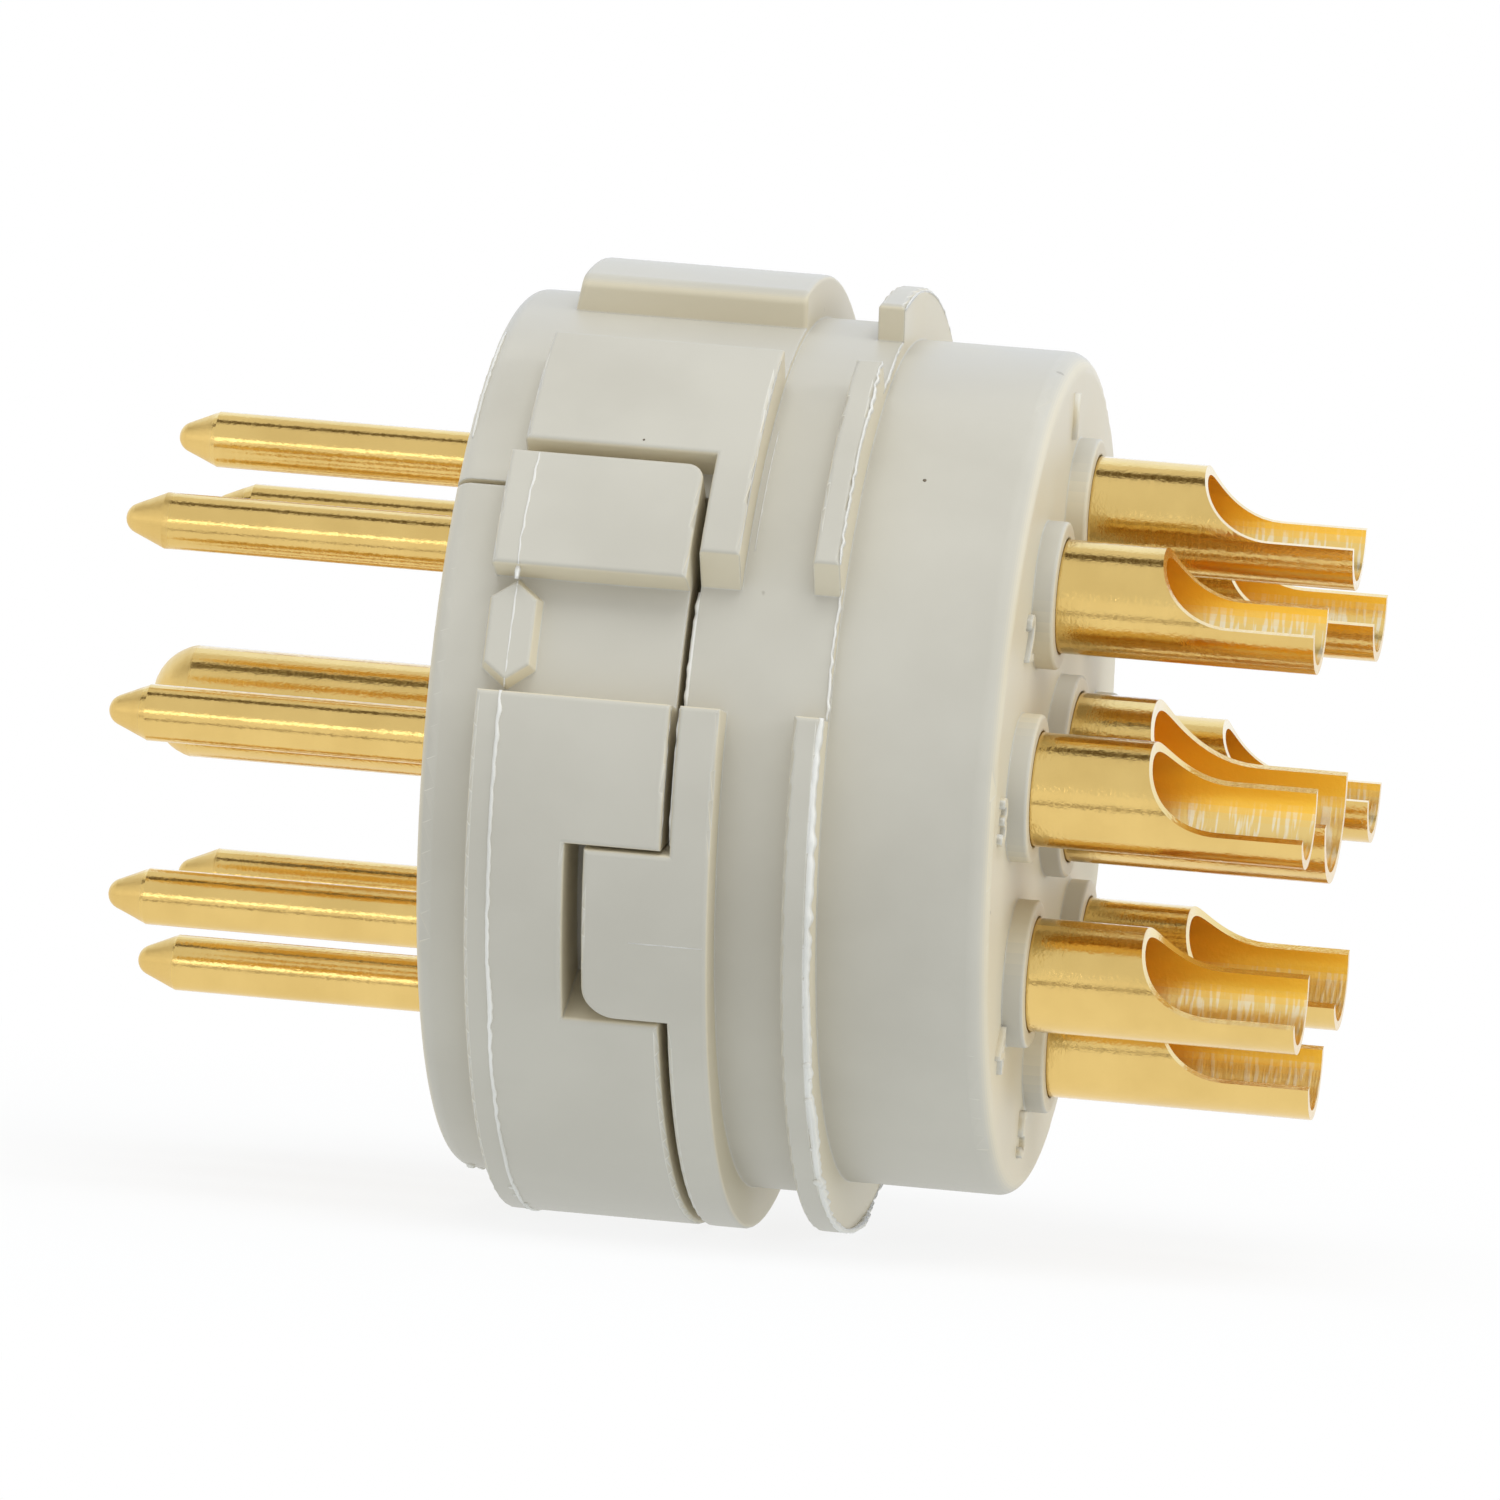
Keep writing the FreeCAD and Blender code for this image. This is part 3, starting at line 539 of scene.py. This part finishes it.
def add_lump(build, place, size, flat, seed):
    """A small irregular lump on the surface."""
    centre = on_part(*place)
    up = outward(place[2])
    rotation = up.to_track_quat("Z", "Y").to_matrix().to_4x4()
    matrix = Matrix.Translation(centre) @ rotation @ Matrix.Diagonal((size, size, size * flat, 1000)) * MM
    made = bmesh.ops.create_icosphere(build, subdivisions=2, radius=1.0, matrix=matrix)
    for vertex in made["verts"]:
        offset = vertex.co - centre
        vertex.co += offset * 0.5 * noise.noise(offset / MM * 6.0 + Vector((seed, 0, 0)))


def make_crumbs():
    """Crumbs of flash low on the front ring's edge, on the parting line and on the flange's rear edge."""
    chance = random.Random(11)
    build = bmesh.new()
    # angles from and to, place along the axis, radius and number of crumbs
    for low, high, x, radius, count in (
        (168, 190, 0.28, RING_RADIUS, 7),
        (158, 176, PARTING_LINE, BAND_RADIUS, 5),
        (120, 150, FLANGE_REAR, FLANGE_RADIUS, 7),
    ):
        for number in range(count):
            angle = chance.uniform(low, high)
            size = chance.uniform(0.035, 0.08)
            place = (x + chance.uniform(-0.05, 0.05), radius, angle)
            add_lump(build, place, size, flat=0.7, seed=number + low)
    add_piece("crumbs", finished_mesh("crumbs", build), FLASH)


def make_specks():
    """Two dark inclusions that show in the skin, on the barrel and on the L-shaped band."""
    build = bmesh.new()
    add_lump(build, place=(8.07, BARREL_RADIUS, 45.9), size=0.035, flat=0.4, seed=1)
    add_lump(build, place=(3.26, BAND_RADIUS, 49.2), size=0.022, flat=0.4, seed=2)
    add_piece("dark_specks", finished_mesh("dark_specks", build), SPECK)


# contact numbers

# how tall a number is, how far it stands out and how wide its soft edge is, in millimetres
NUMBER_SIZE = 1.15
NUMBER_RELIEF = 0.06
NUMBER_EDGE = 0.02
NUMBER_STANDOFF = 0.02

# the angle and the radius at which each contact's number stands on the rear face
NUMBER_PLACES = {
    "1": (10, 6.45), "2": (62, 5.45), "3": (95, 6.5), "4": (136, 6.5),
    "5": (172, 6.45), "6": (224, 6.5), "7": (265, 6.5), "8": (298, 5.45),
}


def make_number(text, angle, radius):
    """One raised number on the rear face, upright when the key is on top."""
    data = bpy.data.curves.new("number_" + text, "FONT")
    data.body = text
    data.size = NUMBER_SIZE * MM
    data.align_x = "CENTER"
    data.align_y = "CENTER"
    data.extrude = NUMBER_RELIEF * MM
    data.bevel_depth = NUMBER_EDGE * MM
    data.bevel_resolution = 1
    letter = bpy.data.objects.new("number_" + text, data)
    bpy.context.scene.collection.objects.link(letter)
    bpy.context.view_layer.update()
    mesh = bpy.data.meshes.new_from_object(letter.evaluated_get(bpy.context.evaluated_depsgraph_get()))
    bpy.data.objects.remove(letter)
    # the text's right, top and front point to the part's +Y, +Z and +X
    to_rear_face = Matrix(((0, 0, 1, 0), (1, 0, 0, 0), (0, 1, 0, 0), (0, 0, 0, 1)))
    place = on_part(REAR_FACE + NUMBER_STANDOFF, radius, angle)
    mesh.transform(Matrix.Translation(place) @ to_rear_face)
    mesh.materials.clear()
    add_piece("contact_number_" + text, mesh, PLASTIC)


# light, floor and camera

# reflected cards: their reach along the axis, where the pins' and the cups' cards meet, and their radii
CARD_REACH = 150
CARD_JOINT = -9
TENT_RADIUS = 95
CARD_RADIUS = 90
LOW_CARD_RADIUS = 21
CARD_STEP = 5


def area_lamp(name, place, size, power, colour=(1, 1, 1)):
    """A rectangular lamp aimed at the middle of the part. Places and sizes are in metres."""
    data = bpy.data.lights.new(name, "AREA")
    data.shape = "RECTANGLE"
    data.size, data.size_y = size
    data.energy = power
    data.color = colour
    lamp = bpy.data.objects.new(name, data)
    lamp.location = place
    middle = (cad_low + cad_high) / 2
    lamp.rotation_euler = (middle - lamp.location).to_track_quat("-Z", "Y").to_euler()
    lamp.visible_glossy = False
    bpy.context.scene.collection.objects.link(lamp)


def make_world():
    """Plain surroundings: white where seen directly or in reflections, and an even light."""
    world = bpy.data.worlds.new("studio")
    bpy.context.scene.world = world
    world.use_nodes = True
    tree = world.node_tree
    tree.nodes.clear()
    output = tree.nodes.new("ShaderNodeOutputWorld")
    seen = tree.nodes.new("ShaderNodeBackground")
    seen.inputs["Color"].default_value = (1, 1, 1, 1)
    seen.inputs["Strength"].default_value = 1.0
    lit = tree.nodes.new("ShaderNodeBackground")
    lit.inputs["Color"].default_value = (1, 0.99, 0.965, 1)
    lit.inputs["Strength"].default_value = 0.64
    mix = tree.nodes.new("ShaderNodeMixShader")
    tree.links.new(seen_directly(tree), mix.inputs["Fac"])
    tree.links.new(lit.outputs["Background"], mix.inputs[1])
    tree.links.new(seen.outputs["Background"], mix.inputs[2])
    tree.links.new(mix.outputs["Shader"], output.inputs["Surface"])


def seen_directly(tree):
    """1 for rays from the camera and for those that gloss and glass send on, otherwise 0."""
    path = tree.nodes.new("ShaderNodeLightPath")
    return calculate(tree, "MAXIMUM", path.outputs["Is Camera Ray"], sent_on(tree))


def sent_on(tree):
    """1 for rays that gloss and glass send on, otherwise 0."""
    path = tree.nodes.new("ShaderNodeLightPath")
    return calculate(tree, "MAXIMUM", path.outputs["Is Glossy Ray"], path.outputs["Is Transmission Ray"])


def make_camera():
    """The photograph's view: a long lens, nearly level with the axis and rolled a little."""
    azimuth = math.radians(8.95)
    elevation = math.radians(3.3)
    roll = math.radians(4.94)
    distance = 257
    focal_length = 346.0
    sensor_width = 36.0
    aim = Vector((4.448, -0.409))
    back = Vector((
        math.sin(azimuth),
        -math.cos(azimuth) * math.cos(elevation),
        math.cos(azimuth) * math.sin(elevation),
    )).normalized()
    level_right = Vector((0, math.sin(elevation), math.cos(elevation))).cross(back).normalized()
    level_up = back.cross(level_right)
    right = level_right * math.cos(roll) + level_up * math.sin(roll)
    up = back.cross(right)
    data = bpy.data.cameras.new("camera")
    data.sensor_width = sensor_width
    data.lens = focal_length
    data.clip_start = 0.01
    data.clip_end = 20.0
    camera = bpy.data.objects.new("camera", data)
    place = (right * aim.x + up * aim.y + back * distance) * MM
    camera.matrix_world = Matrix((right, up, back)).transposed().to_4x4()
    camera.location = place
    bpy.context.scene.collection.objects.link(camera)
    bpy.context.scene.camera = camera


def make_floor():
    """A pale floor under the part: it takes a soft shadow near the part and is plain white further off."""
    floor_size = 3.0
    build = bmesh.new()
    bmesh.ops.create_grid(build, x_segments=1, y_segments=1, size=floor_size)
    mesh = finished_mesh("floor", build)
    floor = bpy.data.objects.new("floor", mesh)
    floor.location.z = cad_low[2]
    bpy.context.scene.collection.objects.link(floor)
    mesh.materials.append(floor_material())


def floor_material():
    """Shaded a little near the part and plain white further off. It sends a slightly cool light back."""
    near = 0.010
    far = 0.035
    whiteness_near = 0.84
    material, tree, shader = new_material("floor")
    shader.inputs["Base Color"].default_value = (0.83, 0.85, 0.87, 1)
    shader.inputs["Roughness"].default_value = 0.9
    shader.inputs["Specular IOR Level"].default_value = 0.0
    white = tree.nodes.new("ShaderNodeEmission")
    white.inputs["Strength"].default_value = 1.0
    geometry = tree.nodes.new("ShaderNodeNewGeometry")
    length = tree.nodes.new("ShaderNodeVectorMath")
    length.operation = "LENGTH"
    tree.links.new(geometry.outputs["Position"], length.inputs[0])
    whiteness = graded(tree, length.outputs["Value"], near, far, whiteness_near, 1.0)
    path = tree.nodes.new("ShaderNodeLightPath")
    tone = mixed(tree, path.outputs["Is Diffuse Ray"], (1, 1, 1, 1), (0.93, 0.98, 1, 1))
    tree.links.new(tone, white.inputs["Color"])
    share = mixed(tree, path.outputs["Is Camera Ray"], (0.7, 0.7, 0.7, 1), (0, 0, 0, 1))
    seen_share = calculate(tree, "MULTIPLY", whiteness, path.outputs["Is Camera Ray"])
    share = calculate(tree, "ADD", share, seen_share)
    mix = tree.nodes.new("ShaderNodeMixShader")
    tree.links.new(calculate(tree, "MAXIMUM", share, sent_on(tree)), mix.inputs["Fac"])
    tree.links.new(shader.outputs["BSDF"], mix.inputs[1])
    tree.links.new(white.outputs["Emission"], mix.inputs[2])
    tree.links.new(mix.outputs["Shader"], surface_socket(tree))
    return material


def make_card(name, low, high, start, end, radius, tone):
    """A card that only reflections show: part of a cylinder round the axis, from one height angle to another.

    Height angles are counted from level in front, upwards. start and end are in millimetres along the axis.
    """
    build = bmesh.new()
    steps = max(2, round((high - low) / CARD_STEP))
    rows = []
    for number in range(steps + 1):
        turn = math.radians(low + (high - low) * number / steps)
        y = -radius * math.cos(turn)
        z = radius * math.sin(turn)
        rows.append([build.verts.new(Vector((x, y, z)) * MM) for x in (start, end)])
    for first, second in zip(rows, rows[1:]):
        build.faces.new((first[0], first[1], second[1], second[0]))
    mesh = finished_mesh(name, build)
    card = bpy.data.objects.new(name, mesh)
    bpy.context.scene.collection.objects.link(card)
    material, tree, shader = new_material(name)
    glow = tree.nodes.new("ShaderNodeEmission")
    glow.inputs["Color"].default_value = tone
    tree.links.new(glow.outputs["Emission"], surface_socket(tree))
    tree.nodes.remove(shader)
    mesh.materials.append(material)
    card.visible_camera = False
    card.visible_diffuse = False
    card.visible_shadow = False
    card.visible_transmission = False


dress_nodes()
make_parting_flash()
make_flange_flash()
make_joint_flash()
make_ring_flash()
make_crumbs()
make_specks()
for number_text, (number_angle, number_radius) in NUMBER_PLACES.items():
    make_number(number_text, number_angle, number_radius)

make_world()
make_floor()
# name, height angles from and to, ends along the axis, radius and tone
make_card("tent", 0, 120, -CARD_REACH, CARD_REACH, TENT_RADIUS, (0.86, 0.87, 0.88, 1))
make_card("back_card", 120, 180, -CARD_REACH, CARD_REACH, TENT_RADIUS, (1.10, 1.25, 1.55, 1))
make_card("dark_card_left", 74, 89, -CARD_REACH, CARD_JOINT, CARD_RADIUS, (0.14, 0.11, 0.07, 1))
make_card("dark_card_right", 82, 99, CARD_JOINT, CARD_REACH, CARD_RADIUS, (0.12, 0.09, 0.05, 1))
make_card("level_card", 2, 10, -CARD_REACH, CARD_JOINT, CARD_RADIUS, (2.4, 2.4, 2.4, 1))
make_card("low_card", -22, -17, -CARD_REACH, CARD_REACH, LOW_CARD_RADIUS, (0.40, 0.37, 0.32, 1))
area_lamp("key_lamp", place=(0.03, -0.12, 0.33), size=(0.30, 0.20), power=0.70, colour=(0.94, 0.98, 1.0))
area_lamp("right_lamp", place=(0.33, -0.08, 0.12), size=(0.16, 0.16), power=0.28, colour=(0.96, 0.98, 1.0))
make_camera()
bpy.context.scene.view_settings.view_transform = "Standard"
